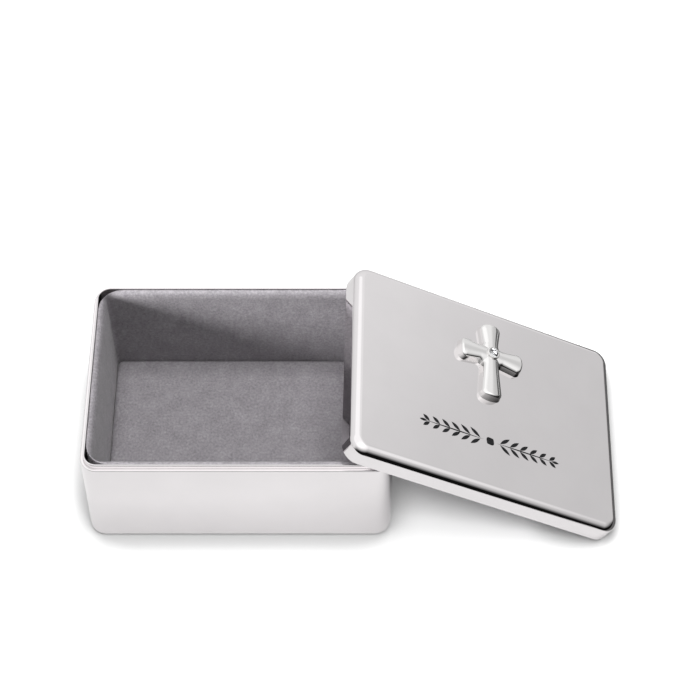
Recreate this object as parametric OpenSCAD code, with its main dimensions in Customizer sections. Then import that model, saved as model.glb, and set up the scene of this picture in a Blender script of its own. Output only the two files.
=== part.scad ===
// Rosary box: a drawn metal keepsake box with a loose lid, lined in suede.
// The lid lies beside the box: its right edge stands on the table and its back
// skirt leans on the rim of the box, so the box is open from the left.
// Millimetres. The origin is the middle of the underside, +X runs to the right,
// +Z up, and the front of the box faces -Y.

/* [Box] */
// Outside width of the box and of its lid
box_w = 90; // [80:1:110]
// Outside depth of the box and of its lid
box_d = 67; // [58:1:80]
// Height of the outer wall, up to the ledge that the lid sits on
box_h = 35; // [30:1:42]
// Radius of the four upright corners
corner_r = 5; // [4.6:0.2:6]
// Thickness of the outer wall, which is also the width of the ledge
wall_t = 0.95; // [0.9:0.05:1.1]
// Radius of the edge round the underside
foot_r = 1.2; // [1:0.1:1.6]
// Radius of the outer edge of the ledge
ledge_r = 0.3; // [0.2:0.05:0.4]

/* [Rim collar] */
// Thickness of the collar strip
collar_t = 0.5; // [0.4:0.05:0.6]
// How far the collar stands above the ledge
collar_proud = 1.6; // [1.2:0.1:1.8]
// Full height of the collar strip
collar_h = 14; // [10:1:18]

/* [Box lining] */
// Gap between the collar and the back of the lining
lining_gap = 0.3; // [0.2:0.05:0.4]
// Thickness of the lining at its rolled top edge
lining_top_t = 1.8; // [1.7:0.1:2]
// Thickness of the lining where it meets the floor pad
lining_foot_t = 2.65; // [2.4:0.05:2.8]
// Radius of the lining's outer corners, which are wider than the metal's
lining_corner_r = 6.5; // [6:0.5:7.5]
// Depth of the lining's top edge below the collar's top
lining_drop = 0.3; // [0.2:0.1:0.6]
// Thickness of the suede
suede_t = 0.45; // [0.4:0.05:0.5]
// Height of the top of the floor pad above the table
floor_pad_z = 4.5; // [4.2:0.1:5]
// Radius of the floor pad's corners
floor_pad_r = 1.8; // [1.8:0.1:2.5]
// Radius of the floor pad's soft top edge
floor_pad_roll_r = 0.8; // [0.6:0.05:0.85]
// Thickness of the boards that stiffen the linings
board_t = 0.8; // [0.7:0.1:0.9]

/* [Lid] */
// Height of the lid, from the foot of its skirt to its flat top
lid_h = 7.2; // [6.8:0.1:8]
// Thickness of the lid's skirt
skirt_t = 0.8; // [0.7:0.05:0.85]
// Radius of the edge round the lid's top
lid_edge_r = 2.6; // [2.2:0.1:3]
// Depth of the space under the lid that takes the collar
lid_recess = 2; // [1.9:0.1:2.2]

/* [Lid beside the box] */
// Slope of the lid, down to the right
lid_tilt = 28.35; // [27:0.05:32]
// How far the lid lies forward of the box
lid_forward = 1.9; // [1.6:0.1:2.1]
// Turn of the lid about the upright axis
lid_turn = -1.2; // [-1.6:0.1:-0.8]

/* [Cross] */
// Length of the arm that points to the back
cross_top = 11.4; // [10:0.2:12]
// Length of the arm that points to the front
cross_foot = 15.9; // [14:0.2:17]
// Length of each side arm
cross_side = 11.2; // [10:0.2:12]
// Width of the arms where they meet
arm_base_w = 4.8; // [4.4:0.1:5.2]
// Width of the arms at their ends
arm_end_w = 6.4; // [6:0.1:7]
// Height of the arms along their long edges
arm_edge_h = 1.5; // [1.3:0.1:1.7]
// Height of the arms along their middle
arm_crown_h = 2.8; // [2.6:0.1:3]
// Outside diameter of the collet round the stone
collet_d = 4.1; // [3.8:0.1:4.4]
// Diameter of the stone
stone_d = 2.9; // [2.7:0.1:3]

/* [Hidden] */
$fn = 96;
over = 0.5; // how far a cutter reaches past what it cuts

silver = [0.82, 0.82, 0.83];
suede = [0.47, 0.46, 0.48];
card = [0.72, 0.66, 0.55];
wadding = [0.93, 0.92, 0.9];
felt = [0.2, 0.2, 0.21];
crystal = [0.85, 0.92, 0.97];

// Box, from the table up
felt_t = 0.5;
felt_inset = 2.5;
floor_t = 0.9;
inner_floor_z = felt_t + floor_t;
rim_z = box_h + collar_proud;

// Box lining, as distances in from the outer face of the wall
lining_in = wall_t + collar_t + lining_gap;
lining_top_in = lining_in + lining_top_t;
lining_foot_in = lining_in + lining_foot_t;
lining_top_z = rim_z - lining_drop;
roll_r = lining_top_t / 2;
roll_z = lining_top_z - roll_r;
pad_in = lining_foot_in + 0.05;

// Lid, in its own frame: the foot of the skirt at 0, the flat top at lid_h
lid_top_t = 0.9;
skirt_foot_r = 0.25;
lid_roof = lid_h - lid_top_t;
lid_pad_in = skirt_t + 0.35;
lid_pad_r = corner_r - lid_pad_in;
lid_board_t = 1.2;
lid_board_z = lid_roof - lid_board_t;

// Where the lid leans. The inside of its back skirt crosses the round corner of the
// collar at lean_x, lean_y, and the slope runs from there down to the table.
table_gap = 0.03;
lean_gap = 0.12;
lean_run = (rim_z + lean_gap - table_gap) / tan(lid_tilt);
lean_along = box_w / 2 * cos(lid_tilt) - lean_run;
lean_across = box_d / 2 - skirt_t;
lean_y = lean_along * sin(lid_turn) + lean_across * cos(lid_turn) - lid_forward;
lean_x = box_w / 2 - corner_r
    + sqrt(pow(corner_r - wall_t, 2) - pow(lean_y - box_d / 2 + corner_r, 2));
lid_pos = [lean_x - lean_along * cos(lid_turn) + lean_across * sin(lid_turn),
           -lid_forward,
           box_w / 2 * sin(lid_tilt) + table_gap];

// Cross, in the lid's frame
cross_x = 0.35;
cross_y = 14.4;
arm_end_bulge = 0.7;
notch_at = arm_base_w / 2 + 0.15;
notch_r = 0.6;
pin_d = 1.4;
pin_end = lid_roof - 0.9;
pin_ys = [cross_y + 6.5, cross_y - 9.5];
nut_d = 4.4;
nut_t = 0.35;
collet_seat = lid_h + 2.1;
collet_top = lid_h + 3.5;
collet_base = 0.3;
collet_lip_w = (collet_d - stone_d) / 2;
seat_w = 0.2;
girdle_z = lid_h + 3.15;

// ---- Shared shapes ----

// A rounded rectangle in plan, inset from the outer faces by d_in
module plan(d_in, r) {
    wide = box_w - 2 * d_in;
    deep = box_d - 2 * d_in;
    square([wide - 2 * r, deep], center = true);
    square([wide, deep - 2 * r], center = true);
    for (x = [-1, 1], y = [-1, 1])
        translate([x * (wide / 2 - r), y * (deep / 2 - r)])
            circle(r);
}

// A flat plate of that plan between two heights
module plate(d_in, r, z0, z1)
    translate([0, 0, z0])
        linear_extrude(z1 - z0)
            plan(d_in, r);

// What comes off a square corner to leave a radius r, about the arc's centre
module edge_cut(r)
    difference() {
        square(r + over);
        circle(r);
    }

// Sweeps a section round four sides and corners, inset from the box's outer faces
// by d_in. The section has its outer face at x = 0, its inside at negative x, and
// heights along y.
module swept_wall(d_in = 0, turn = corner_r) {
    wide = box_w - 2 * d_in;
    deep = box_d - 2 * d_in;
    for (q = [[1, 1, 0], [-1, 1, 90], [-1, -1, 180], [1, -1, 270]])
        translate([q[0] * (wide / 2 - turn), q[1] * (deep / 2 - turn), 0])
            rotate([0, 0, q[2]])
                rotate_extrude(angle = 90)
                    translate([turn, 0])
                        children();
    for (a = [0, 180]) {
        rotate([0, 0, a])
            translate([wide / 2, deep / 2 - turn, 0])
                rotate([90, 0, 0])
                    linear_extrude(deep - 2 * turn)
                        children();
        rotate([0, 0, a + 90])
            translate([deep / 2, wide / 2 - turn, 0])
                rotate([90, 0, 0])
                    linear_extrude(wide - 2 * turn)
                        children();
    }
}

// The flat middle that closes a swept wall, between two heights
module middle(z0, z1, d_in = 0, turn = corner_r)
    translate([d_in + turn - box_w / 2, d_in + turn - box_d / 2, z0])
        cube([box_w - 2 * (d_in + turn), box_d - 2 * (d_in + turn), z1 - z0]);

// A pad from z0 up to z1 whose top edge rolls over with radius roll
module soft_pad(d_in, turn, roll, z0, z1) {
    swept_wall(d_in, turn)
        difference() {
            translate([-turn, z0])
                square([turn, z1 - z0]);
            translate([-roll, z1 - roll])
                edge_cut(roll);
        }
    middle(z0, z1, d_in, turn);
}

// Runs a section round the box with sharp mitred corners, for folded linings.
// The section has the same axes as in swept_wall.
module mitred_wall() {
    for (a = [0, 180]) {
        rotate([0, 0, a])
            mitred_side(box_w, box_d)
                children();
        rotate([0, 0, a + 90])
            mitred_side(box_d, box_w)
                children();
    }
}

// One side at x = across / 2, as long as the box is there, cut at 45 degrees
module mitred_side(across, along)
    intersection() {
        translate([across / 2, along / 2, 0])
            rotate([90, 0, 0])
                linear_extrude(along)
                    children();
        translate([across / 2, 0, 0])
            linear_extrude(box_h * 2)
                polygon([[0, -along / 2], [0, along / 2],
                         [-corner_r * 2, along / 2 - corner_r * 2],
                         [-corner_r * 2, corner_r * 2 - along / 2]]);
    }

// Stands the lid's pieces where the lid leans
module leaning()
    translate(lid_pos)
        rotate([0, lid_tilt, lid_turn])
            children();

// ---- Box ----

// Section of the outer shell: wall, rounded foot, floor and softened ledge
module shell_section()
    difference() {
        translate([-corner_r, felt_t])
            square([corner_r, box_h - felt_t]);
        translate([-corner_r - over, inner_floor_z])
            square([corner_r + over - wall_t, box_h]);
        translate([-foot_r, felt_t + foot_r])
            mirror([0, 1])
                edge_cut(foot_r);
        translate([-ledge_r, box_h - ledge_r])
            edge_cut(ledge_r);
    }

module box_shell()
    color(silver) {
        swept_wall()
            shell_section();
        middle(felt_t, inner_floor_z);
    }

// Strip soldered inside the wall, its top edge rounded, which locates the lid
module rim_collar()
    color(silver)
        swept_wall()
            translate([-wall_t - collar_t, 0]) {
                translate([0, rim_z - collar_h])
                    square([collar_t, collar_h - collar_t / 2]);
                translate([collar_t / 2, rim_z - collar_t / 2])
                    circle(collar_t / 2);
            }

// Section of the lining's outside: straight back, sloping face, rolled top
module lining_section(skin) {
    back = -lining_in - skin;
    foot = -lining_foot_in + skin;
    face = -lining_top_in + skin;
    translate([0, inner_floor_z])
        polygon([[back, 0], [back, roll_z - inner_floor_z],
                 [face, roll_z - inner_floor_z], [foot, 0]]);
    translate([(back + face) / 2, roll_z])
        circle(roll_r - skin);
}

// Everything inside the lining's rounded outer corners
module inside_corners(skin)
    plate(lining_in + skin, lining_corner_r - skin, 0, rim_z);

// Section of the stiffening board, up the back of the lining
module board_section()
    translate([-lining_in - suede_t - board_t, inner_floor_z])
        square([board_t, roll_z - inner_floor_z]);

module wall_board()
    color(card)
        intersection() {
            mitred_wall()
                board_section();
            inside_corners(suede_t);
        }

module wall_wadding()
    color(wadding)
        intersection() {
            mitred_wall()
                difference() {
                    lining_section(suede_t);
                    board_section();
                }
            inside_corners(suede_t);
        }

module wall_lining()
    color(suede)
        difference() {
            intersection() {
                mitred_wall()
                    lining_section(0);
                inside_corners(0);
            }
            intersection() {
                mitred_wall()
                    lining_section(suede_t);
                inside_corners(suede_t);
            }
        }

// The floor pad: a board, its wadding, and suede turned down over both
module floor_board()
    color(card)
        plate(pad_in + suede_t, floor_pad_r - suede_t, inner_floor_z, inner_floor_z + board_t);

// What the suede covers on the floor, from a height z0
module floor_filling(z0)
    soft_pad(pad_in + suede_t, floor_pad_r - suede_t, floor_pad_roll_r - suede_t, z0,
             floor_pad_z - suede_t);

module floor_wadding()
    color(wadding)
        floor_filling(inner_floor_z + board_t);

module floor_lining()
    color(suede)
        difference() {
            soft_pad(pad_in, floor_pad_r, floor_pad_roll_r, inner_floor_z, floor_pad_z);
            floor_filling(0);
        }

module base_felt()
    color(felt)
        plate(felt_inset, corner_r - felt_inset, 0, felt_t);

// ---- Lid ----

// Section of the lid: skirt, wide rolled edge and roof, of one thickness
module lid_section()
    difference() {
        translate([-corner_r, 0])
            square([corner_r, lid_h]);
        translate([-lid_edge_r, lid_h - lid_edge_r])
            edge_cut(lid_edge_r);
        difference() {
            translate([-corner_r - over, -over])
                square([corner_r + over - skirt_t, lid_roof + over]);
            translate([-lid_edge_r, lid_roof - lid_edge_r + skirt_t])
                edge_cut(lid_edge_r - skirt_t);
        }
        translate([-skirt_foot_r, skirt_foot_r])
            mirror([0, 1])
                edge_cut(skirt_foot_r);
    }

module lid_shell()
    color(silver)
        leaning()
            difference() {
                union() {
                    swept_wall()
                        lid_section();
                    middle(lid_roof, lid_h);
                }
                for (y = pin_ys)
                    translate([cross_x, y, lid_roof - over])
                        cylinder(d = pin_d, h = lid_top_t + 2 * over);
            }

// Board glued under the roof, with a hole for each push nut
module lid_board()
    color(card)
        leaning()
            difference() {
                plate(lid_pad_in + suede_t + lid_edge_r - skirt_t, lid_pad_r - suede_t - 1,
                      lid_board_z, lid_roof);
                for (y = pin_ys)
                    translate([cross_x, y, 0])
                        cylinder(d = nut_d + 0.8, h = lid_h);
            }

module lid_wadding()
    color(wadding)
        leaning()
            plate(lid_pad_in + suede_t, lid_pad_r - suede_t, lid_recess + suede_t,
                  lid_board_z);

// Suede under the lid, turned up round the wadding
module lid_lining()
    color(suede)
        leaning()
            difference() {
                plate(lid_pad_in, lid_pad_r, lid_recess, lid_board_z);
                plate(lid_pad_in + suede_t, lid_pad_r - suede_t, lid_recess + suede_t, lid_h);
            }

// ---- Cross and stone ----

// Plan of an arm along +y: it widens to a slightly bowed end
module arm_plan(reach) {
    end_r = (pow(arm_end_w / 2, 2) + pow(arm_end_bulge, 2)) / (2 * arm_end_bulge);
    intersection() {
        polygon([[-arm_base_w / 2, 0], [arm_base_w / 2, 0],
                 [arm_end_w / 2, reach], [-arm_end_w / 2, reach]]);
        union() {
            translate([0, reach - end_r])
                circle(end_r);
            translate([-arm_end_w, 0])
                square([arm_end_w * 2, reach - end_r]);
        }
    }
}

// Radius of the round back that drops from the crown to the edge over a width w
function back_r(w) = (pow(w / 2, 2) + pow(arm_crown_h - arm_edge_h, 2))
    / (2 * (arm_crown_h - arm_edge_h));

// One arm along +y, its round back a cone whose top line stays level
module arm(reach) {
    r1 = back_r(arm_base_w);
    r2 = back_r(arm_end_w);
    slope = asin((r2 - r1) / reach);
    intersection() {
        linear_extrude(arm_crown_h)
            arm_plan(reach);
        translate([0, 0, arm_crown_h - r1 * cos(slope)])
            rotate([-90 - slope, 0, 0])
                cylinder(r1 = r1, r2 = r2, h = reach);
    }
}

// Small fillets in the four corners between the arms
module notch_fillets()
    linear_extrude(arm_edge_h)
        difference() {
            square(2 * (notch_at + notch_r), center = true);
            for (x = [-1, 1], y = [-1, 1])
                translate([x * (notch_at + notch_r), y * (notch_at + notch_r)])
                    circle(notch_r);
        }

module cross()
    color(silver)
        leaning() {
            difference() {
                translate([cross_x, cross_y, lid_h]) {
                    notch_fillets();
                    arm(cross_top);
                    rotate([0, 0, 180])
                        arm(cross_foot);
                    for (a = [90, -90])
                        rotate([0, 0, a])
                            arm(cross_side);
                }
                translate([cross_x, cross_y, collet_seat])
                    cylinder(d = collet_d, h = arm_crown_h);
            }
            for (y = pin_ys)
                translate([cross_x, y, pin_end])
                    cylinder(d = pin_d, h = lid_h - pin_end + 0.2);
        }

// Push nuts that hold the cross's two pins under the roof of the lid
module cross_push_nuts()
    color(silver)
        leaning()
            for (y = pin_ys)
                translate([cross_x, y, lid_roof - nut_t])
                    difference() {
                        cylinder(d = nut_d, h = nut_t);
                        translate([0, 0, -over])
                            cylinder(d = pin_d, h = nut_t + 2 * over);
                    }

// Cup let into the crossing: base, seat for the stone, and a wall with a round lip
module stone_collet()
    color(silver)
        leaning()
            translate([cross_x, cross_y, collet_seat])
                rotate_extrude() {
                    square([collet_d / 2, collet_base]);
                    translate([stone_d / 2 - seat_w, 0])
                        square([seat_w + collet_lip_w / 2, girdle_z - collet_seat]);
                    translate([stone_d / 2, 0])
                        square([collet_lip_w, collet_top - collet_seat - collet_lip_w / 2]);
                    translate([stone_d / 2 + collet_lip_w / 2,
                               collet_top - collet_seat - collet_lip_w / 2])
                        circle(collet_lip_w / 2);
                }

// Round brilliant: a short girdle, a cut crown with its table, and a pointed back
module stone() {
    crown_h = 0.45;
    girdle_h = 0.15;
    back_h = girdle_z - collet_seat - collet_base;
    color(crystal)
        leaning()
            translate([cross_x, cross_y, girdle_z]) {
                cylinder(d = stone_d, h = girdle_h);
                translate([0, 0, girdle_h])
                    cylinder(d1 = stone_d, d2 = stone_d * 0.56, h = crown_h, $fn = 8);
                translate([0, 0, -back_h])
                    cylinder(d1 = 0.4, d2 = stone_d - 0.5, h = back_h, $fn = 8);
            }
}

box_shell();
rim_collar();
wall_board();
wall_wadding();
wall_lining();
floor_board();
floor_wadding();
floor_lining();
base_felt();
lid_shell();
lid_board();
lid_wadding();
lid_lining();
cross();
cross_push_nuts();
stone_collet();
stone();
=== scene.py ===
"""A polished metal keepsake box with a suede lining, and its loose lid leaning beside it."""

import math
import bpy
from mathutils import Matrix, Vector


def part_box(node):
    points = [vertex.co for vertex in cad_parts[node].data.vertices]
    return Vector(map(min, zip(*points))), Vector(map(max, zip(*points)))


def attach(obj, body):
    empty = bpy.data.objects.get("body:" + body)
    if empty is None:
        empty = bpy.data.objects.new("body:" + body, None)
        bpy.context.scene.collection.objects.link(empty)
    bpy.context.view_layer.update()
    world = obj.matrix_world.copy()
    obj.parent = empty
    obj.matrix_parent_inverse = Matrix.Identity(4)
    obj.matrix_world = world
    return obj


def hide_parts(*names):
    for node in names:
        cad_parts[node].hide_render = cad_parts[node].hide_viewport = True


bl_info = {
    "name": "Keepsake Box",
    "version": (1, 0, 0),
    "blender": (4, 5, 0),
    "location": "3D View > Sidebar > Keepsake Box",
    "description": "Polished shells, suede linings, a cast cross and a small studio for a rosary box",
    "category": "Add Mesh",
}

import bmesh
import bpy
from bpy.props import FloatProperty, FloatVectorProperty, IntProperty, PointerProperty
from mathutils import Matrix, Vector

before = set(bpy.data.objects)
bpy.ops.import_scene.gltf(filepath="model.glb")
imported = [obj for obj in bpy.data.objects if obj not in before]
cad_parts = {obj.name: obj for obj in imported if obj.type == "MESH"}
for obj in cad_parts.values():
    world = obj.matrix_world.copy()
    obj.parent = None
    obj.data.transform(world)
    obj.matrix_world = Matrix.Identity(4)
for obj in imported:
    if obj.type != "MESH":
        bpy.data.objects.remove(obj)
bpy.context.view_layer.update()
SHELL_LOW, SHELL_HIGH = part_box("box_shell")
COLLAR_LOW, COLLAR_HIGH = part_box("rim_collar")
LINING_LOW, LINING_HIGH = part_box("wall_lining")
PAD_LOW, PAD_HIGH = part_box("floor_lining")

MM = 0.001
TINY = 1e-6
SMOOTH_BELOW = math.radians(32)


def length(name, description, millimetres):
    """A size that the sidebar shows as a length."""
    return FloatProperty(
        name=name, description=description, default=millimetres * MM, subtype="DISTANCE", precision=5
    )


def colour(name, description, value):
    """A colour that the sidebar shows as a swatch."""
    return FloatVectorProperty(
        name=name, description=description, default=value, subtype="COLOR", size=3, min=0, max=1
    )


def angle(name, description, degrees):
    """A turn that the sidebar shows as an angle."""
    return FloatProperty(name=name, description=description, default=math.radians(degrees), subtype="ANGLE")


def position(name, description, metres):
    """A point that the sidebar shows as a place."""
    return FloatVectorProperty(
        name=name, description=description, default=metres, subtype="TRANSLATION", precision=6
    )


def number(name, description, value):
    """A plain number in the sidebar."""
    return FloatProperty(name=name, description=description, default=value)


# ---- sizes and colours


class ShellSizes(bpy.types.PropertyGroup):
    """Radii and thicknesses of the polished box and its rim collar."""

    corner: length("Corner radius", "Radius of the four upright corners", 5)
    wall: length("Wall", "Thickness of the drawn wall and width of the ledge", 0.95)
    floor: length("Floor", "Thickness of the metal floor", 0.9)
    foot: length("Foot edge", "Radius of the edge round the underside", 1.2)
    ledge_edge: length("Ledge edge", "Radius of the outer edge of the ledge", 0.3)
    inner_edge: length("Inner edge", "Radius of the inner edge of the ledge", 0.08)
    collar: length("Collar", "Thickness of the collar strip", 0.5)
    corner_steps: IntProperty(name="Corner steps", description="Facets round a corner", default=32)


class LidSizes(bpy.types.PropertyGroup):
    """Shape of the lid and the place where it leans."""

    height: length("Height", "From the foot of the skirt to the flat top", 7.2)
    top_edge: length("Top edge", "Radius of the wide rolled edge", 2.6)
    skirt: length("Skirt", "Thickness of the skirt", 0.8)
    roof: length("Roof", "Thickness of the flat top", 0.9)
    skirt_foot: length("Skirt foot", "Radius of the skirt's lower outer edge", 0.25)
    recess: length("Recess", "Depth of the space that takes the collar", 2)
    board: length("Board", "Thickness of the board under the roof", 1.2)
    pad_inset: length("Pad inset", "From the lid's outer face to its lining", 1.15)
    pad_roll: length("Pad roll", "Radius of the lining's soft edge", 1.3)
    pad_crown: length("Pad crown", "How far the middle of the lining swells", 0.2)
    tilt: angle("Tilt", "Slope down to the right", 28.35)
    turn: angle("Turn", "Turn about the upright axis", -1.2)
    place: position("Place", "Middle of the foot of the skirt", (0.0705445, -0.0019, 0.0213985))


class LiningSizes(bpy.types.PropertyGroup):
    """Shape of the suede linings in the box."""

    outer_corner: length("Outer corner", "Radius at the back of the lining", 7.5)
    inner_corner: length("Inner corner", "Radius of the crease between two walls", 1.1)
    swell: length("Swell", "How far the padding presses the back out towards the collar", 0.2)
    top: length("Top thickness", "Thickness at the rolled top edge", 2.0)
    back_roll: length("Back roll", "Radius of the roll next to the collar", 0.25)
    front_roll: length("Front roll", "Height over which the roll turns down into the wall", 2.4)
    foot: length("Foot thickness", "Thickness where the wall meets the floor pad", 2.85)
    bulge: length("Bulge", "How far a wall swells between its corners", 0.16)
    pad_corner: length("Pad corner", "Radius of the floor pad's corners", 1.8)
    pad_roll: length("Pad roll", "Radius of the floor pad's soft edge", 1.1)
    pad_crown: length("Pad crown", "How far the middle of the pad swells", 0.25)


class CrossSizes(bpy.types.PropertyGroup):
    """Shape of the cross, its collet and its stone, on the lid."""

    across: length("Across", "Middle of the crossing, from the lid's middle to the right", 0.35)
    back: length("Back", "Middle of the crossing, from the lid's middle to the back", 14.4)
    top_arm: length("Top arm", "Length of the arm that points to the back", 11.05)
    foot_arm: length("Foot arm", "Length of the arm that points to the front", 15.6)
    side_arm: length("Side arm", "Length of each side arm", 10.7)
    neck: length("Neck", "Width of the arms at their narrowest, next to the crossing", 5.3)
    end_width: length("End width", "Width of the arms at their ends", 6.8)
    end_arc: length("End arc", "Radius to which an arm's end is rounded", 8)
    corner: length("Corner", "Radius of the two corners at an arm's end", 1.6)
    fillet: length("Fillet", "Radius of the corner between two arms", 1.2)
    edge: length("Edge height", "Height along an arm's long edges", 1.95)
    crown: length("Crown height", "Height along an arm's middle", 2.8)
    soften: length("Softening", "Radius of the polished edges", 0.7)
    draft: length("Draft", "How far a side leans out at its foot", 0.42)
    collet: length("Collet", "Outside diameter of the cup round the stone", 4.1)
    collet_wall: length("Collet wall", "Thickness of the cup's lip", 0.4)
    collet_seat: length("Collet seat", "Height of the cup's foot above the lid", 2.1)
    collet_top: length("Collet top", "Height of the cup's lip above the lid", 3.4)
    lip_edge: length("Lip edge", "Radius of the lip's outer edge", 0.2)
    step: length("Step", "Width of the step that the stone sits on", 0.22)
    cup_floor: length("Cup floor", "Thickness of the cup's floor", 0.3)
    girdle: length("Girdle", "Height of the stone's widest part above the lid", 3.15)
    stone: length("Stone", "Diameter of the stone's place", 3.1)
    play: length("Play", "Gap between the stone and the cup", 0.02)


class Finishes(bpy.types.PropertyGroup):
    """Colours of the finishes."""

    silver: colour("Silver", "Polished plate on the box and lid", (0.768, 0.745, 0.752))
    cast_silver: colour("Cast silver", "Polished casting of the cross", (0.8, 0.79, 0.785))
    suede: colour("Suede", "Napped suede lining", (0.315, 0.299, 0.318))
    felt: colour("Felt", "Felt under the box", (0.08, 0.08, 0.085))
    board: colour("Board", "Card inside the linings", (0.55, 0.5, 0.42))
    wadding: colour("Wadding", "Wadding inside the linings", (0.85, 0.84, 0.82))
    engraving: colour("Engraving", "Black filling of the engraved spray", (0.008, 0.008, 0.009))
    stone: colour("Stone", "Clear cut stone", (0.97, 0.98, 1.0))


class StudioSettings(bpy.types.PropertyGroup):
    """Camera, lamps and background."""

    lens: number("Lens", "Focal length in millimetres on a 36 mm sensor", 107.665)
    camera_tilt: angle("Camera tilt", "Up from straight down", 36.842)
    camera_place: position("Camera place", "Where the camera stands", (0.032772, -0.365209, 0.53572))
    key: number("Key", "Power of the low lamp on the left, in watts", 6.3)
    top: number("Top", "Power of the wide lamp overhead, in watts", 4.5)
    floor: number("Floor", "Power of the lamp in front that lights the floor alone, in watts", 5.4)
    fill: number("Fill", "Strength of the even light from all round", 0.26)


class KeepsakeBox(bpy.types.PropertyGroup):
    """Everything that a user would change."""

    shell: PointerProperty(type=ShellSizes)
    lid: PointerProperty(type=LidSizes)
    lining: PointerProperty(type=LiningSizes)
    cross: PointerProperty(type=CrossSizes)
    finish: PointerProperty(type=Finishes)
    studio: PointerProperty(type=StudioSettings)


def settings():
    """The sizes and colours of the scene."""
    return bpy.context.scene.keepsake_box


# ---- modelling helpers


def deselect():
    """Leaves object mode with nothing selected."""
    if bpy.context.object and bpy.context.object.mode != "OBJECT":
        bpy.ops.object.mode_set(mode="OBJECT")
    bpy.ops.object.select_all(action="DESELECT")


def choose(piece):
    """Makes a piece the only selected and the active one."""
    deselect()
    piece.select_set(True)
    bpy.context.view_layer.objects.active = piece


def named(name):
    """Names the primitive that was just added."""
    piece = bpy.context.object
    piece.name = name
    piece.data.name = name
    return piece


def place_in_mesh():
    """Takes the place, turn and scale of what is selected into its mesh."""
    bpy.ops.object.transform_apply(location=True, rotation=True, scale=True)


def apply_modifier(piece, kind, **values):
    """Gives the active piece a modifier with its values, and applies it."""
    bpy.ops.object.modifier_add(type=kind)
    modifier = piece.modifiers[-1]
    for key, value in values.items():
        setattr(modifier, key, value)
    bpy.ops.object.modifier_apply(modifier=modifier.name)


def join_pieces(pieces, name):
    """Joins pieces into one, open in edit mode."""
    choose(pieces[0])
    for part in pieces:
        part.select_set(True)
    bpy.ops.object.join()
    piece = named(name)
    bpy.ops.object.mode_set(mode="EDIT")
    return piece


def block(name, low, high):
    """A block between two corners, open in edit mode."""
    deselect()
    low, high = Vector(low), Vector(high)
    bpy.ops.mesh.primitive_cube_add(size=1, location=(low + high) / 2)
    piece = named(name)
    piece.scale = high - low
    place_in_mesh()
    bpy.ops.object.mode_set(mode="EDIT")
    return piece


def pick(piece, kind, wanted):
    """Selects the vertices, edges or faces that pass a test, and nothing else."""
    bpy.ops.mesh.select_mode(type=kind)
    bpy.ops.mesh.select_all(action="DESELECT")
    mesh = bmesh.from_edit_mesh(piece.data)
    parts = {"VERT": mesh.verts, "EDGE": mesh.edges, "FACE": mesh.faces}[kind]
    for part in parts:
        if wanted(part):
            part.select_set(True)
    mesh.select_flush_mode()
    bmesh.update_edit_mesh(piece.data)


def upright(edge):
    """True for an edge that runs straight up."""
    a, b = (v.co for v in edge.verts)
    return (a.xy - b.xy).length < TINY < abs(a.z - b.z)


def level_at(height):
    """A test for what lies flat at a height."""
    return lambda part: all(abs(v.co.z - height) < TINY for v in part.verts)


def rim_at(height, outside):
    """A test for the edges at a height that border the outer or the inner wall."""

    def wanted(edge):
        if not level_at(height)(edge):
            return False
        for face in edge.link_faces:
            if abs(face.normal.z) < 0.5 and not level_at(height)(face):
                return (face.calc_center_median().xy.dot(face.normal.xy) > 0) == outside
        return False

    return wanted


def round_edges(piece, wanted, radius, segments):
    """Rounds the edges that pass a test."""
    pick(piece, "EDGE", wanted)
    bpy.ops.mesh.bevel(offset=radius, segments=segments, profile=0.5, affect="EDGES")


def extrude(z):
    """Extrudes the selection straight up or down."""
    bpy.ops.mesh.extrude_region_move(TRANSFORM_OT_translate={"value": (0, 0, z)})


def hollow(wall, z):
    """Takes the selected faces up or down, all but a wall along their border."""
    bpy.ops.mesh.inset(thickness=wall, depth=0)
    extrude(z)


def extrude_to(piece, height):
    """Extrudes the selection and lays its far end flat at a height."""
    extrude(0)
    mesh = bmesh.from_edit_mesh(piece.data)
    for vertex in mesh.verts:
        if vertex.select:
            vertex.co.z = height
    bmesh.update_edit_mesh(piece.data)


def face_outwards():
    """Turns all the faces of the mesh in edit mode outwards."""
    bpy.ops.mesh.select_all(action="SELECT")
    bpy.ops.mesh.normals_make_consistent(inside=False)


def smooth(piece, weighted=True):
    """Shades a finished piece smooth, with flat faces kept flat."""
    choose(piece)
    bpy.ops.object.shade_smooth_by_angle(angle=SMOOTH_BELOW)
    if weighted:
        apply_modifier(piece, "WEIGHTED_NORMAL", keep_sharp=True)


def lid_frame():
    """The matrix that takes the lid's own frame to where the lid leans."""
    lid = settings().lid
    turn = Matrix.Rotation(lid.turn, 4, "Z") @ Matrix.Rotation(lid.tilt, 4, "Y")
    return Matrix.Translation(lid.place) @ turn


def lean(piece):
    """Takes a piece that is modelled in the lid's frame to where the lid leans."""
    choose(piece)
    piece.matrix_world = lid_frame() @ piece.matrix_world
    place_in_mesh()


def move_points(piece, place):
    """Puts each vertex where place(index, co) says."""
    for vertex in piece.data.vertices:
        vertex.co = place(vertex.index, vertex.co.copy())
    piece.data.update()


def dress(piece, material):
    """Gives a piece one material."""
    piece.data.materials.clear()
    piece.data.materials.append(material)


def hand_over(piece, body, nodes, material):
    """Finishes a new piece: its body, the CAD nodes it stands for and material."""
    dress(piece, MATERIALS[material])
    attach(piece, body)
    if nodes:
        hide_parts(*nodes)


# ---- materials


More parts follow.
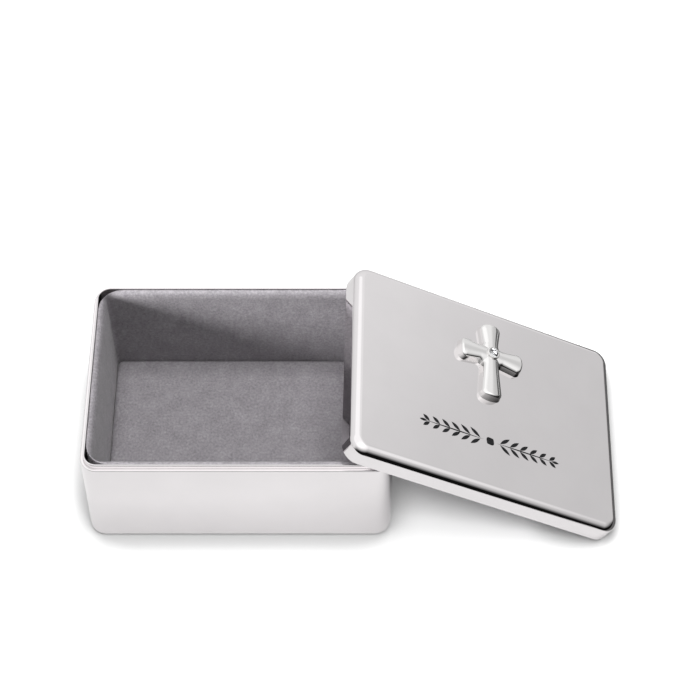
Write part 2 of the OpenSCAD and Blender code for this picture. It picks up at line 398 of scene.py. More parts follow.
class ShaderTree:
    """Short calls that build a node tree."""

    def __init__(self, tree):
        self.tree = tree

    def feed(self, socket, value):
        """Joins an output to a socket, or sets a plain value on it."""
        if isinstance(value, bpy.types.NodeSocket):
            self.tree.links.new(value, socket)
        else:
            socket.default_value = value

    def node(self, kind, sockets, **values):
        """A new node: what its sockets take, by name or number, and its other values."""
        made = self.tree.nodes.new(kind)
        for key, value in values.items():
            setattr(made, key, value)
        for socket, value in sockets.items():
            self.feed(made.inputs[socket], value)
        return made

    def maths(self, operation, a, b, clamp=False):
        """Works out two values, each a number or an output."""
        made = self.node("ShaderNodeMath", {0: a, 1: b}, operation=operation, use_clamp=clamp)
        return made.outputs[0]

    def blend(self, share, first, second):
        """Mixes two values."""
        kept = self.maths("MULTIPLY", self.maths("SUBTRACT", 1.0, share), first)
        return self.maths("ADD", kept, self.maths("MULTIPLY", share, second))

    def mix(self, share, first, second):
        """Mixes two shaders."""
        return self.node("ShaderNodeMixShader", {0: share, 1: first.outputs[0], 2: second.outputs[0]})

    def axes(self, place):
        """The three coordinates of a place or a direction."""
        split = self.node("ShaderNodeSeparateXYZ", {0: place})
        return [split.outputs[axis] for axis in "XYZ"]

    def ramp(self, value, stops):
        """Looks a value from 0 to 1 up in stops of (value, colour)."""
        ramp = self.node("ShaderNodeValToRGB", {"Fac": value})
        elements = ramp.color_ramp.elements
        while len(elements) < len(stops):
            elements.new(0.5)
        for element, (at, tone) in zip(elements, stops):
            element.position = at
            element.color = (*tone, 1)
        return ramp.outputs["Color"]

    def grey_ramp(self, value, stops, low=-1.0, high=1.0):
        """Looks a value between low and high up in stops of (value, brightness)."""
        share = self.maths("DIVIDE", self.maths("SUBTRACT", value, low), high - low)
        return self.ramp(share, [((at - low) / (high - low), (grey,) * 3) for at, grey in stops])

    def in_metal(self, path):
        """1 for what is seen in metal or through glass, and 0 for the rest."""
        return self.maths("ADD", path.outputs["Is Glossy Ray"], path.outputs["Is Transmission Ray"], True)


class Finish(ShaderTree):
    """A procedural material, built up node by node on Object coordinates."""

    def __init__(self, name):
        self.material = bpy.data.materials.new(name)
        self.material.use_nodes = True
        super().__init__(self.material.node_tree)
        self.shader = self.tree.nodes["Principled BSDF"]
        self.place = self.node("ShaderNodeTexCoord", {}).outputs["Object"]

    def set(self, **values):
        """Gives the shader's sockets plain values or outputs."""
        for key, value in values.items():
            self.feed(self.shader.inputs[key.replace("_", " ")], value)

    def tones(self, value, tone, stops):
        """Colours the surface by a value: stops of (value, how light the tone is there)."""
        self.set(Base_Color=self.ramp(value, [(at, shade(tone, factor)) for at, factor in stops]))

    def noise(self, size, detail=3.0, stretch=(1, 1, 1), roughness=0.5):
        """Noise whose grain is about the given size, in metres."""
        scale = [s / size for s in stretch]
        place = self.node("ShaderNodeMapping", {"Vector": self.place, "Scale": scale}).outputs[0]
        sockets = {"Vector": place, "Scale": 1, "Detail": detail, "Roughness": roughness}
        return self.node("ShaderNodeTexNoise", sockets).outputs["Fac"]

    def spread(self, value, low, high, span=(0.3, 0.7)):
        """Maps a noise value from span to low and high."""
        sockets = {"Value": value, "From Min": span[0], "From Max": span[1], "To Min": low, "To Max": high}
        return self.node("ShaderNodeMapRange", sockets).outputs["Result"]

    def bump(self, heights, strength=1.0):
        """Bumps from a list of (value, height in metres), one above the other."""
        below = {}
        for value, height in heights:
            sockets = {"Strength": strength, "Distance": height, "Height": value, **below}
            below = {"Normal": self.node("ShaderNodeBump", sockets).outputs["Normal"]}
        self.set(**below)


def shade(tone, factor):
    """A colour made lighter or darker."""
    return tuple(min(1.0, channel * factor) for channel in tone)


def polished_metal(name, tone, ripple):
    """Mirror plate: faint smudges in the gloss, polishing haze and a slight ripple."""
    finish = Finish(name)
    finish.set(Metallic=1.0, IOR=2.2)
    finish.tones(finish.noise(14 * MM, detail=4), tone, [(0.35, 0.985), (0.65, 1.01)])
    smudges = finish.noise(5 * MM, detail=5, roughness=0.6)
    finish.set(Roughness=finish.spread(smudges, 0.025, 0.07))
    wave = finish.noise(9 * MM, detail=1)
    grain = finish.noise(0.15 * MM, detail=2)
    finish.bump([(wave, ripple), (grain, ripple * 0.004)])
    return finish.material


def suede_cloth(name, tone, edge=None):
    """Short napped suede: brushed patches, fine fibres and a soft sheen, with a painted highlight that makes
    it paler along its top edge when a band of heights is given.
    """
    finish = Finish(name)
    finish.set(Roughness=0.95, Sheen_Weight=0.3, Sheen_Roughness=0.4, IOR=1.4, Specular_IOR_Level=0.15)
    brushed = finish.noise(4.5 * MM, detail=5, stretch=(1, 1, 0.8), roughness=0.65)
    nap = finish.noise(0.75 * MM, detail=4, roughness=0.75)
    fibre = finish.noise(0.2 * MM, detail=2)
    patches = finish.spread(brushed, 0, 0.35)
    mixed = finish.maths("ADD", patches, finish.spread(nap, 0, 0.65, span=(0.35, 0.65)))
    # Painted highlight: the colour grows paler within the given band of heights, at the top of the lining.
    if edge:
        height = finish.axes(finish.place)[2]
        mixed = finish.maths("ADD", mixed, finish.spread(height, 0, 0.38, span=edge))
    finish.tones(mixed, tone, [(0.05, 0.72), (0.4, 0.97), (0.55, 1.05), (0.85, 1.3), (1.0, 1.55)])
    finish.bump([(brushed, 0.35 * MM), (nap, 0.25 * MM), (fibre, 0.1 * MM)], strength=0.5)
    return finish.material


def fibre_mat(name, tone, size, depth):
    """Matted fibres, for felt, wadding and card."""
    finish = Finish(name)
    finish.set(Roughness=0.92, Specular_IOR_Level=0.2)
    tangle = finish.noise(size, detail=5, roughness=0.7)
    finish.tones(tangle, tone, [(0.3, 0.75), (0.7, 1.2)])
    finish.bump([(tangle, depth)], strength=0.6)
    return finish.material


def black_filling(name, tone):
    """Black lacquer in an engraved line, slightly uneven."""
    finish = Finish(name)
    finish.set(IOR=1.5, Specular_IOR_Level=0.15)
    pits = finish.noise(0.2 * MM, detail=3)
    finish.tones(pits, tone, [(0.3, 1.0), (0.7, 2.2)])
    finish.set(Roughness=finish.spread(pits, 0.25, 0.45))
    finish.bump([(pits, 0.01 * MM)], strength=0.5)
    return finish.material


def spring_steel(name):
    """Plain stamped steel with a drawn grain."""
    finish = Finish(name)
    grain = finish.noise(0.3 * MM, detail=3, stretch=(1, 8, 8))
    tones = finish.ramp(grain, [(0.3, (0.42, 0.42, 0.44)), (0.7, (0.56, 0.56, 0.58))])
    finish.set(Metallic=1.0, Base_Color=tones, Roughness=finish.spread(grain, 0.25, 0.45))
    return finish.material


def cut_stone(name, tone):
    """Clear stone with a high index and a trace of tint."""
    finish = Finish(name)
    finish.set(Roughness=0.0, IOR=2.1, Transmission_Weight=1.0)
    finish.tones(finish.noise(0.8 * MM, detail=2), tone, [(0.3, 0.97), (0.7, 1.0)])
    return finish.material


MATERIALS = {}


class KEEPSAKE_OT_finishes(bpy.types.Operator):
    """Makes the materials"""

    bl_idname = "keepsake.finishes"
    bl_label = "Finishes"

    def execute(self, context):
        tones = settings().finish
        # Painted highlight: the wall lining's suede is made paler over its top 0.9 mm.
        painted_highlight_band = (LINING_HIGH.z - 0.9 * MM, LINING_HIGH.z)
        MATERIALS.update(
            silver=polished_metal("polished_silver_plate", tones.silver, 0.004 * MM),
            cast=polished_metal("polished_casting", tones.cast_silver, 0.006 * MM),
            suede=suede_cloth("grey_suede", tones.suede),
            rolled_suede=suede_cloth("grey_suede_painted_highlight", tones.suede, painted_highlight_band),
            felt=fibre_mat("felt", tones.felt, 0.4 * MM, 0.1 * MM),
            board=fibre_mat("card", tones.board, 1.2 * MM, 0.03 * MM),
            wadding=fibre_mat("wadding", tones.wadding, 0.8 * MM, 0.2 * MM),
            engraving=black_filling("black_filling", tones.engraving),
            spring=spring_steel("spring_steel"),
            stone=cut_stone("clear_cut_stone", tones.stone),
        )
        return {"FINISHED"}


class KEEPSAKE_OT_hidden_pieces(bpy.types.Operator):
    """Dresses the boards, wadding, felt and push nuts, whose solids stay as they are"""

    bl_idname = "keepsake.hidden_pieces"
    bl_label = "Boards, Wadding and Felt"

    def execute(self, context):
        wears = {
            "wall_board": "board",
            "floor_board": "board",
            "lid_board": "board",
            "floor_wadding": "wadding",
            "wall_wadding": "wadding",
            "lid_wadding": "wadding",
            "base_felt": "felt",
            "cross_push_nuts": "spring",
        }
        for node, material in wears.items():
            dress(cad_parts[node], MATERIALS[material])
        return {"FINISHED"}


# ---- box


class KEEPSAKE_OT_box_shell(bpy.types.Operator):
    """Drawn outer body: a block with rounded corners and foot, hollowed from the ledge"""

    bl_idname = "keepsake.box_shell"
    bl_label = "Box Shell"

    def execute(self, context):
        size = settings().shell
        piece = block("polished_box", SHELL_LOW, SHELL_HIGH)
        top, bottom = SHELL_HIGH.z, SHELL_LOW.z
        round_edges(piece, upright, size.corner, size.corner_steps)
        round_edges(piece, level_at(bottom), size.foot, 10)
        pick(piece, "FACE", level_at(top))
        hollow(size.wall, -(top - bottom - size.floor))
        round_edges(piece, rim_at(top, outside=True), size.ledge_edge, 6)
        round_edges(piece, rim_at(top, outside=False), size.inner_edge, 3)
        smooth(piece)
        hand_over(piece, "box", ["box_shell"], "silver")
        return {"FINISHED"}


class KEEPSAKE_OT_rim_collar(bpy.types.Operator):
    """Strip inside the wall: a band given its thickness, with a rounded top edge"""

    bl_idname = "keepsake.rim_collar"
    bl_label = "Rim Collar"

    def execute(self, context):
        size = settings().shell
        piece = block("rim_collar_strip", COLLAR_LOW, COLLAR_HIGH)
        round_edges(piece, upright, size.corner - size.wall, size.corner_steps)
        pick(piece, "FACE", lambda face: abs(face.normal.z) > 0.5)
        bpy.ops.mesh.delete(type="ONLY_FACE")
        choose(piece)
        apply_modifier(piece, "SOLIDIFY", thickness=size.collar, offset=-1, use_even_offset=True)
        bpy.ops.object.mode_set(mode="EDIT")
        for outside in (True, False):
            round_edges(piece, rim_at(COLLAR_HIGH.z, outside=outside), size.collar * 0.48, 6)
        smooth(piece)
        hand_over(piece, "box", ["rim_collar"], "silver")
        return {"FINISHED"}


# Steps of the lining's ring: round each corner, and along a long and a short side
CORNER_STATIONS = 12
SIDE_STATIONS = (36, 26)
# Steps of its section: up the back, over the back roll, over the front roll, down the wall
SECTION_STEPS = (5, 8, 16, 24)


def ring_stations():
    """Stations round a rounded rectangle: (corner, angle, share of the side after the corner)."""
    stations = []
    for corner in range(4):
        start = corner * math.pi / 2
        for step in range(CORNER_STATIONS + 1):
            stations.append((corner, start + step / CORNER_STATIONS * math.pi / 2, 0))
        along = SIDE_STATIONS[corner % 2]
        for step in range(1, along):
            stations.append((corner, start + math.pi / 2, step / along))
    return stations


def ring_point(station, half, radius):
    """Where a station lies on a rounded rectangle of half-size half."""
    corner, angle, share = station

    def arc_end(which, turn):
        x = (1, -1, -1, 1)[which % 4] * (half.x - radius)
        y = (1, 1, -1, -1)[which % 4] * (half.y - radius)
        return Vector((x + radius * math.cos(turn), y + radius * math.sin(turn)))

    here = arc_end(corner, angle)
    if share == 0:
        return here
    return here.lerp(arc_end(corner + 1, angle), share)


def lining_section(size):
    """The lining's section: how far in from its back, the height and the share of the bulge."""
    bottom, top = LINING_LOW.z, LINING_HIGH.z
    back, front = size.back_roll, size.front_roll
    rise, over, roll, fall = SECTION_STEPS
    section = [(0, step / rise * (top - back - bottom) + bottom, 0) for step in range(rise)]
    for step in range(over):
        turn = math.pi / 2 * step / over
        section.append((back - back * math.cos(turn), top - back + back * math.sin(turn), 0))
    for step in range(roll + 1):
        turn = math.pi / 2 * step / roll
        inset = back + (size.top - back) * math.sin(turn)
        section.append((inset, top - front + front * math.cos(turn), 0))
    for step in range(1, fall + 1):
        down = step / fall
        inset = size.top + (size.foot - size.top) * down
        height = (top - front) * (1 - down) + bottom * down
        section.append((inset, height, math.sin(math.pi * down) ** 2))
    return section


class KEEPSAKE_OT_wall_lining(bpy.types.Operator):
    """Padded suede round the walls: one ring with a rolled top, wide at the back and creased inside"""

    bl_idname = "keepsake.wall_lining"
    bl_label = "Wall Lining"

    def execute(self, context):
        size = settings().lining
        half = Vector((LINING_HIGH.x + size.swell, LINING_HIGH.y + size.swell))
        section = lining_section(size)
        stations = ring_stations()
        deselect()
        bpy.ops.mesh.primitive_torus_add(
            major_segments=len(stations), minor_segments=len(section), major_radius=1, minor_radius=0.3
        )
        piece = named("suede_wall_lining")

        def place(index, co):
            station = stations[index // len(section)]
            inset, height, swell = section[index % len(section)]
            share = min(1, inset / size.top)
            radius = size.outer_corner + (size.inner_corner - size.outer_corner) * share
            middle = 1 - abs(2 * station[2] - 1) ** 3 if station[2] else 0
            inset += size.bulge * swell * middle
            point = ring_point(station, half - Vector((inset, inset)), radius)
            return Vector((point.x, point.y, height))

        move_points(piece, place)
        smooth(piece, weighted=False)
        # The wall lining wears the suede with the painted highlight along its top.
        hand_over(piece, "box", ["wall_lining", "wall_wadding"], "rolled_suede")
        return {"FINISHED"}


# Columns and rows of a pad's grid, and how much they crowd towards its soft edge
PAD_GRID = (88, 66)
PAD_CROWDING = 1.5
# How far in from its edge a pad swells to its full height
CROWN_RUN = 6 * MM


def on_rounded_outline(a, b, half, corner):
    """How far out a point of the square from -1 to 1 lies, and the outline's point that way."""
    ring = max(abs(a), abs(b), TINY)
    x, y = a / ring * half.x, b / ring * half.y
    over_x, over_y = abs(x) - (half.x - corner), abs(y) - (half.y - corner)
    if over_x > 0 and over_y > 0:
        reach = math.hypot(over_x, over_y)
        x = math.copysign(half.x - corner + over_x / reach * corner, x)
        y = math.copysign(half.y - corner + over_y / reach * corner, y)
    return ring, x, y


def inside_by(x, y, half, corner):
    """How far a point lies inside a rounded rectangle."""
    over = Vector((abs(x) - half.x + corner, abs(y) - half.y + corner))
    outside = Vector((max(over.x, 0), max(over.y, 0))).length
    return corner - outside - min(max(over.x, over.y), 0)


def soft_pad(name, half, bottom, top, corner, roll, crown):
    """A pad with a soft rolled edge and a slight crown: a grid shaped to it, closed underneath."""
    deselect()
    bpy.ops.mesh.primitive_grid_add(x_subdivisions=PAD_GRID[0], y_subdivisions=PAD_GRID[1], size=2)
    piece = named(name)

    def place(index, co):
        ring, x, y = on_rounded_outline(co.x, co.y, half, corner)
        share = 1 - (1 - ring) ** PAD_CROWDING
        x, y = x * share, y * share
        depth = inside_by(x, y, half, corner)
        drop = roll - math.sqrt(max(0, roll**2 - max(0, roll - depth) ** 2))
        rise = min(1, depth / CROWN_RUN)
        return Vector((x, y, top - crown - drop + crown * rise * (2 - rise)))

    move_points(piece, place)
    bpy.ops.object.mode_set(mode="EDIT")
    pick(piece, "EDGE", lambda edge: edge.is_boundary)
    extrude_to(piece, bottom)
    bpy.ops.mesh.edge_face_add()
    return piece


class KEEPSAKE_OT_floor_lining(bpy.types.Operator):
    """Padded suede floor of the box, its soft edge sunk between the walls"""

    bl_idname = "keepsake.floor_lining"
    bl_label = "Floor Lining"

    def execute(self, context):
        size = settings().lining
        half = Vector((PAD_HIGH.x, PAD_HIGH.y))
        shape = (size.pad_corner, size.pad_roll, size.pad_crown)
        piece = soft_pad("suede_floor_pad", half, PAD_LOW.z, PAD_HIGH.z, *shape)
        smooth(piece, weighted=False)
        hand_over(piece, "box", ["floor_lining", "floor_wadding"], "suede")
        return {"FINISHED"}


# ---- lid


def lid_half(inset):
    """Half the lid's width and depth, inset from its outer faces."""
    return Vector((SHELL_HIGH.x - inset, SHELL_HIGH.y - inset))


class KEEPSAKE_OT_lid_shell(bpy.types.Operator):
    """Drawn lid: a block with rounded corners and a wide rolled edge, hollowed from below"""

    bl_idname = "keepsake.lid_shell"
    bl_label = "Lid Shell"

    def execute(self, context):
        size, shell = settings().lid, settings().shell
        half = lid_half(0)
        piece = block("polished_lid", (-half.x, -half.y, 0), (half.x, half.y, size.height))
        round_edges(piece, upright, shell.corner, shell.corner_steps)
        round_edges(piece, level_at(size.height), size.top_edge, 18)
        roof = size.height - size.roof
        pick(piece, "FACE", level_at(0))
        hollow(size.skirt, roof)
        round_edges(piece, level_at(roof), size.top_edge - size.skirt, 8)
        round_edges(piece, rim_at(0, outside=True), size.skirt_foot, 5)
        round_edges(piece, rim_at(0, outside=False), size.skirt_foot / 2, 3)
        lean(piece)
        smooth(piece)
        hand_over(piece, "lid", ["lid_shell"], "silver")
        return {"FINISHED"}


class KEEPSAKE_OT_lid_lining(bpy.types.Operator):
    """Padded suede under the lid"""

    bl_idname = "keepsake.lid_lining"
    bl_label = "Lid Lining"

    def execute(self, context):
        size, shell = settings().lid, settings().shell
        thickness = size.height - size.roof - size.board - size.recess
        shape = (shell.corner - size.pad_inset, size.pad_roll, size.pad_crown)
        piece = soft_pad("suede_lid_pad", lid_half(size.pad_inset), 0, thickness, *shape)
        choose(piece)
        turned = Matrix.Rotation(math.pi, 4, "X")
        piece.matrix_world = Matrix.Translation((0, 0, size.recess + thickness)) @ turned
        place_in_mesh()
        lean(piece)
        smooth(piece, weighted=False)
        hand_over(piece, "lid", ["lid_lining", "lid_wadding"], "suede")
        return {"FINISHED"}


# ---- cross and stone


# Columns and rows of an arm's grid, and how much they crowd towards its rounded edges
ARM_GRID = (44, 48)
CROWDING = 1.7
# How an arm's flare bends outwards; 1 is straight
FLARE = 1.1
# Vertices as near as this to each other are welded where two arms meet
WELD = 0.004 * MM
# Gap round the collet in its pocket
POCKET_GAP = 0.01 * MM


def back_radius(width, rise):
    """Radius of a round back that is width wide and rise high."""
    return ((width / 2) ** 2 + rise**2) / (2 * rise)


def clustered(share):
    """Draws shares from -1 to 1 towards both ends, where an edge is rounded."""
    return math.copysign(1 - (1 - abs(share)) ** CROWDING, share)


def arm_outline(size, reach):
    """An arm's outline: its inner corner, and how to work out its half width, end and depth."""
    neck, wide = size.neck / 2, size.end_width / 2
    hub = neck + size.fillet
    crotch = hub - size.fillet / math.sqrt(2)
    end_middle = reach - size.end_arc
    reach_across = wide - size.corner
    turn_at = end_middle + math.sqrt((size.end_arc - size.corner) ** 2 - reach_across**2)
    corner_turn = math.atan2(reach_across, turn_at - end_middle)
    tip_across = size.end_arc * math.sin(corner_turn)
    tip_along = end_middle + size.end_arc * math.cos(corner_turn)

    def side(along):
        """Half the width, without the rounded corners."""
        if along <= crotch:
            return crotch
        if along < hub:
            return hub - math.sqrt(size.fillet**2 - (hub - along) ** 2)
        return neck + (wide - neck) * min(1, (along - hub) / (turn_at - hub)) ** FLARE

    def half_width(along):
        """Half the width, with the rounded corners."""
        if along >= tip_along:
            return tip_across
        if along <= turn_at:
            return side(along)
        return reach_across + math.sqrt(size.corner**2 - (along - turn_at) ** 2)

    def end(share):
        """Where the arm ends at a share of its width."""
        return end_middle + math.sqrt(size.end_arc**2 - (share * tip_across) ** 2)

    def depth(across, along):
        """How far a point lies inside the outline."""
        across = abs(across)
        if along < hub and across < hub:
            return max(0, math.hypot(hub - along, hub - across) - size.fillet)
        to_end = size.corner
        if along > end_middle:
            to_end = size.end_arc - math.hypot(across, along - end_middle)
        if along > turn_at and across > reach_across:
            if math.atan2(across - reach_across, along - turn_at) > corner_turn:
                return max(0, size.corner - math.hypot(across - reach_across, along - turn_at))
            return max(0, to_end)
        return max(0, min(side(along) - across, to_end))

    return crotch, side, half_width, end, depth


def cross_arm(name, reach, turn):
    """One flared arm with a round back and softened edges, turned about the crossing."""
    size = settings().cross
    deselect()
    bpy.ops.mesh.primitive_grid_add(x_subdivisions=ARM_GRID[0], y_subdivisions=ARM_GRID[1], size=2)
    piece = named(name)
    crotch, side, half_width, end, depth = arm_outline(size, reach)
    root = crotch + size.fillet

    def place(index, co):
        share = clustered(co.x)
        start = abs(share) * crotch
        along = start + (end(share) - start) * (1 - (1 - (co.y + 1) / 2) ** CROWDING)
        across = share * half_width(along)
        wide = side(along) if along > root else min(side(along), side(root))
        radius = back_radius(2 * wide, size.crown - size.edge)
        height = size.crown - radius + math.sqrt(max(radius**2 - across**2, 0))
        short = max(0, size.soften - depth(across, along))
        return Vector((across, along, height - size.soften + math.sqrt(max(0, size.soften**2 - short**2))))

    def in_valley(vertex):
        """True on the diagonals where an arm meets its neighbours."""
        return abs(vertex.co.y - abs(vertex.co.x)) < WELD / 2 and vertex.co.y < crotch + TINY

    move_points(piece, place)
    bpy.ops.object.mode_set(mode="EDIT")
    pick(piece, "EDGE", lambda edge: edge.is_boundary and not all(in_valley(v) for v in edge.verts))
    extrude_to(piece, 0)
    bpy.ops.object.mode_set(mode="OBJECT")
    piece.rotation_euler.z = turn
    place_in_mesh()
    return piece


def lean_out(piece, draft):
    """Moves the foot of each side outwards, as a casting's sides lean."""
    mesh = bmesh.from_edit_mesh(piece.data)
    mesh.normal_update()
    moves = {}
    for vertex in mesh.verts:
        if abs(vertex.co.z) < TINY:
            outward = sum((face.normal for face in vertex.link_faces if abs(face.normal.z) < 0.5), Vector())
            moves[vertex] = Vector((outward.x, outward.y, 0)).normalized() * draft
    for vertex, move in moves.items():
        vertex.co += move
    bmesh.update_edit_mesh(piece.data)


def cut_pocket(piece, radius, low, high):
    """Cuts a round pocket from low up to high out of the middle of a piece."""
    deselect()
    middle = (0, 0, (low + high) / 2)
    bpy.ops.mesh.primitive_cylinder_add(vertices=64, radius=radius, depth=high - low, location=middle)
    cutter = bpy.context.object
    place_in_mesh()
    choose(piece)
    apply_modifier(piece, "BOOLEAN", operation="DIFFERENCE", solver="EXACT", object=cutter)
    choose(cutter)
    bpy.ops.object.delete()
    choose(piece)


class KEEPSAKE_OT_cross(bpy.types.Operator):
    """Cast cross: flared arms with round backs that meet in crisp valleys"""

    bl_idname = "keepsake.cross"
    bl_label = "Cross"

    def execute(self, context):
        size, lid = settings().cross, settings().lid
        reaches = (size.top_arm, size.side_arm, size.foot_arm, size.side_arm)
        arms = [cross_arm(f"arm_{i}", reach, i * math.pi / 2) for i, reach in enumerate(reaches)]
        piece = join_pieces(arms, "cast_cross")
        bpy.ops.mesh.select_mode(type="VERT")
        bpy.ops.mesh.select_all(action="SELECT")
        bpy.ops.mesh.remove_doubles(threshold=WELD)
        pick(piece, "EDGE", lambda edge: edge.is_boundary)
        bpy.ops.mesh.edge_face_add()
        face_outwards()
        lean_out(piece, size.draft)
        bpy.ops.object.mode_set(mode="OBJECT")
        cut_pocket(piece, size.collet / 2 + POCKET_GAP, size.collet_seat, size.crown + 1 * MM)
        piece.location = (size.across, size.back, lid.height)
        place_in_mesh()
        lean(piece)
        smooth(piece, weighted=False)
        hand_over(piece, "lid", ["cross"], "cast")
        return {"FINISHED"}


class KEEPSAKE_OT_collet(bpy.types.Operator):
    """Cup round the stone: a short post, hollowed, with a rounded lip"""

    bl_idname = "keepsake.collet"
    bl_label = "Stone Collet"

    def execute(self, context):
        size, lid = settings().cross, settings().lid
        low, high = lid.height + size.collet_seat, lid.height + size.collet_top

        def on_outside(vertex):
            """True on the cup's outer wall."""
            from_middle = vertex.co.xy - Vector((size.across, size.back))
            return from_middle.length > size.collet / 2 - 20 * TINY

        deselect()
        bpy.ops.mesh.primitive_cylinder_add(
            vertices=64,
            radius=size.collet / 2,
            depth=high - low,
            location=(size.across, size.back, (low + high) / 2),
        )
        piece = named("round_collet")
        place_in_mesh()
        bpy.ops.object.mode_set(mode="EDIT")
        pick(piece, "FACE", level_at(high))
        hollow(size.collet_wall, -(size.collet_top - size.girdle))
        hollow(size.step, -(size.girdle - size.collet_seat - size.cup_floor))
        round_edges(piece, lambda edge: level_at(high)(edge) and on_outside(edge.verts[0]), size.lip_edge, 6)
        lean(piece)
        smooth(piece)
        hand_over(piece, "lid", ["stone_collet"], "cast")
        return {"FINISHED"}


def facet_ring(vertices, radius, height, turn=0.0):
    """A ring of vertices for one level of the cut stone."""
    deselect()
    bpy.ops.mesh.primitive_circle_add(
        vertices=vertices, radius=radius, location=(0, 0, height), rotation=(0, 0, turn)
    )
    ring = bpy.context.object
    place_in_mesh()
    return ring


class KEEPSAKE_OT_stone(bpy.types.Operator):
    """Round brilliant: table, crown facets, girdle and pointed back, bridged ring by ring"""

    bl_idname = "keepsake.stone"
    bl_label = "Stone"

    def execute(self, context):
        size, lid = settings().cross, settings().lid
        radius = size.stone / 2 - size.play
        base = size.girdle - size.collet_seat - size.cup_floor - size.play
        # Sides, radius, height above the girdle and turn of each ring, from the table down
        levels = [
            (8, radius * 0.56, 0.5 * MM, 0.0),
            (8, radius * 0.84, 0.3 * MM, math.pi / 8),
            (16, radius, 0.12 * MM, 0.0),
            (16, radius, 0.02 * MM, 0.0),
            (8, radius * 0.5, -base * 0.55, math.pi / 8),
        ]
        piece = join_pieces([facet_ring(*level) for level in levels], "cut_stone")
        heights = [level[2] for level in levels]
        for upper, lower in zip(heights, heights[1:]):
            pick(piece, "EDGE", lambda edge: level_at(upper)(edge) or level_at(lower)(edge))
            bpy.ops.mesh.bridge_edge_loops()
        pick(piece, "EDGE", level_at(heights[0]))
        bpy.ops.mesh.edge_face_add()
        pick(piece, "EDGE", level_at(heights[-1]))
        extrude(-base * 0.45)
        bpy.ops.mesh.merge(type="CENTER")
        face_outwards()
        bpy.ops.object.mode_set(mode="OBJECT")
        piece.location = (size.across, size.back, lid.height + size.girdle)
        place_in_mesh()
        lean(piece)
        hand_over(piece, "lid", ["stone"], "stone")
        return {"FINISHED"}


# ---- engraving


# The spray, in millimetres: its middle, from the lid's; its lozenge; and how thick the filling is
SPRAY_AT = (0.4, -16.0)
LOZENGE = 3.0
FILLING = 0.012
# Place, length and width of a stem and of the leaf at its end
STEM = (12.2, 20, 0.45)
END_LEAF = (22.6, 2.6, 0.9)
# Pairs of leaves on a stem: place, length and distance from the stem of the first pair, and what
# each next pair adds to them
PAIRS = 6
FIRST_PAIR = (5.1, 4.3, 1.55)
NEXT_PAIR = (3.3, -0.3, -0.1)
LEAF_WIDTH = 1.15
LEAF_TURN = math.radians(38)


class KEEPSAKE_OT_engraving(bpy.types.Operator):
    """A plain engraved spray of leaves, filled black, across the front of the lid"""

    bl_idname = "keepsake.engraving"
    bl_label = "Engraved Spray"

    def execute(self, context):
        pieces = []

        def leaf(x, y, long, wide, turn=0.0):
            """A pointed leaf, from a circle drawn in towards its tips."""
            deselect()
            bpy.ops.mesh.primitive_circle_add(vertices=24, radius=1, fill_type="NGON")
            made = bpy.context.object
            for vertex in made.data.vertices:
                vertex.co.y *= 1 - 0.75 * abs(vertex.co.x) ** 2.2
            made.scale = (long / 2 * MM, wide / 2 * MM, 1)
            made.rotation_euler.z = turn
            made.location = ((SPRAY_AT[0] + x) * MM, (SPRAY_AT[1] + y) * MM, 0)
            place_in_mesh()
            pieces.append(made)

        leaf(0, 0, LOZENGE, LOZENGE, math.pi / 4)
        for side in (1, -1):
            leaf(side * STEM[0], 0, *STEM[1:])
            for step in range(PAIRS):
                at, long, lift = (first + step * more for first, more in zip(FIRST_PAIR, NEXT_PAIR))
                for above in (1, -1):
                    leaf(side * at, above * lift, long, LEAF_WIDTH, above * side * LEAF_TURN)
            leaf(side * END_LEAF[0], 0, *END_LEAF[1:])
        piece = join_pieces(pieces, "engraved_spray")
        bpy.ops.mesh.select_all(action="SELECT")
        extrude(FILLING * MM)
        face_outwards()
        bpy.ops.object.mode_set(mode="OBJECT")
        piece.location.z = settings().lid.height
        place_in_mesh()
        lean(piece)
        hand_over(piece, "lid", [], "engraving")
        return {"FINISHED"}


# ---- studio


# Each lamp's place, the point that it faces and its size, in metres
KEY_LAMP = ((-0.63, -0.34, 0.235), (0, 0, 0.03), 0.2)
TOP_LAMP = ((0.03, 0.04, 0.8), (0.03, 0, 0), 0.45)
FLOOR_LAMP = ((0.06, -0.34, 0.72), (0.03, -0.02, 0), 0.28)

WHITE = (1, 1, 1, 1)
NEARLY_BLACK = (0.003, 0.003, 0.003, 1)
# Width of the floor, in metres
FLOOR_WIDTH = 1.2
# The floor's tone in reflections and bounced light, and how far the occlusion that sets its painted shadow
# reaches
FLOOR_TONE = 0.59
SHADOW_REACH = 14 * MM
# Its tone to the camera, by how open the floor is there: a painted shadow next to the object
CONTACT_SHADOW = [(0.5, 0.38), (0.62, 0.42), (0.72, 0.56), (0.8, 0.68), (0.92, 0.76)]
# How much the floor glows to the camera, from front to back
GLOW = [(-0.02, 0.13), (0.03, 0.2), (0.06, 0.45)]
# Where the floor ends for metal: slanting past the front, and past the right up to a depth
FRONT_SLANT = -0.39
FRONT_END = [(-0.104, 1.0), (-0.09, 0.0)]
RIGHT_END = [(0.112, 0.0), (0.116, 0.85)]
RIGHT_DEPTH = [(0.14, 1.0), (0.18, 0.0)]

# The brightest part of the room, as metal sees it; 1 is the white of the background
BRIGHTEST = 1.5
# The room's brightness by how far up metal looks, behind the object and in front of it
BEHIND = [(-0.3, 0.9), (0.0, 0.85), (0.35, 0.95), (0.6, 1.0), (0.7, 1.0), (0.76, 1.25)]
IN_FRONT = [
    (-0.1, 0.003),
    (0.0, 0.015),
    (0.05, 0.08),
    (0.2, 0.25),
    (0.34, 0.55),
    (0.5, 0.75),
    (0.57, 1.0),
    (0.74, 1.3),
    (0.81, 1.5),
]
# Which way in front is, as shares of right and of front, and where it starts
AHEAD_RIGHT, AHEAD_FRONT = 0.5, 0.86
AHEAD_FROM = [(0.0, 0.0), (0.35, 1.0)]
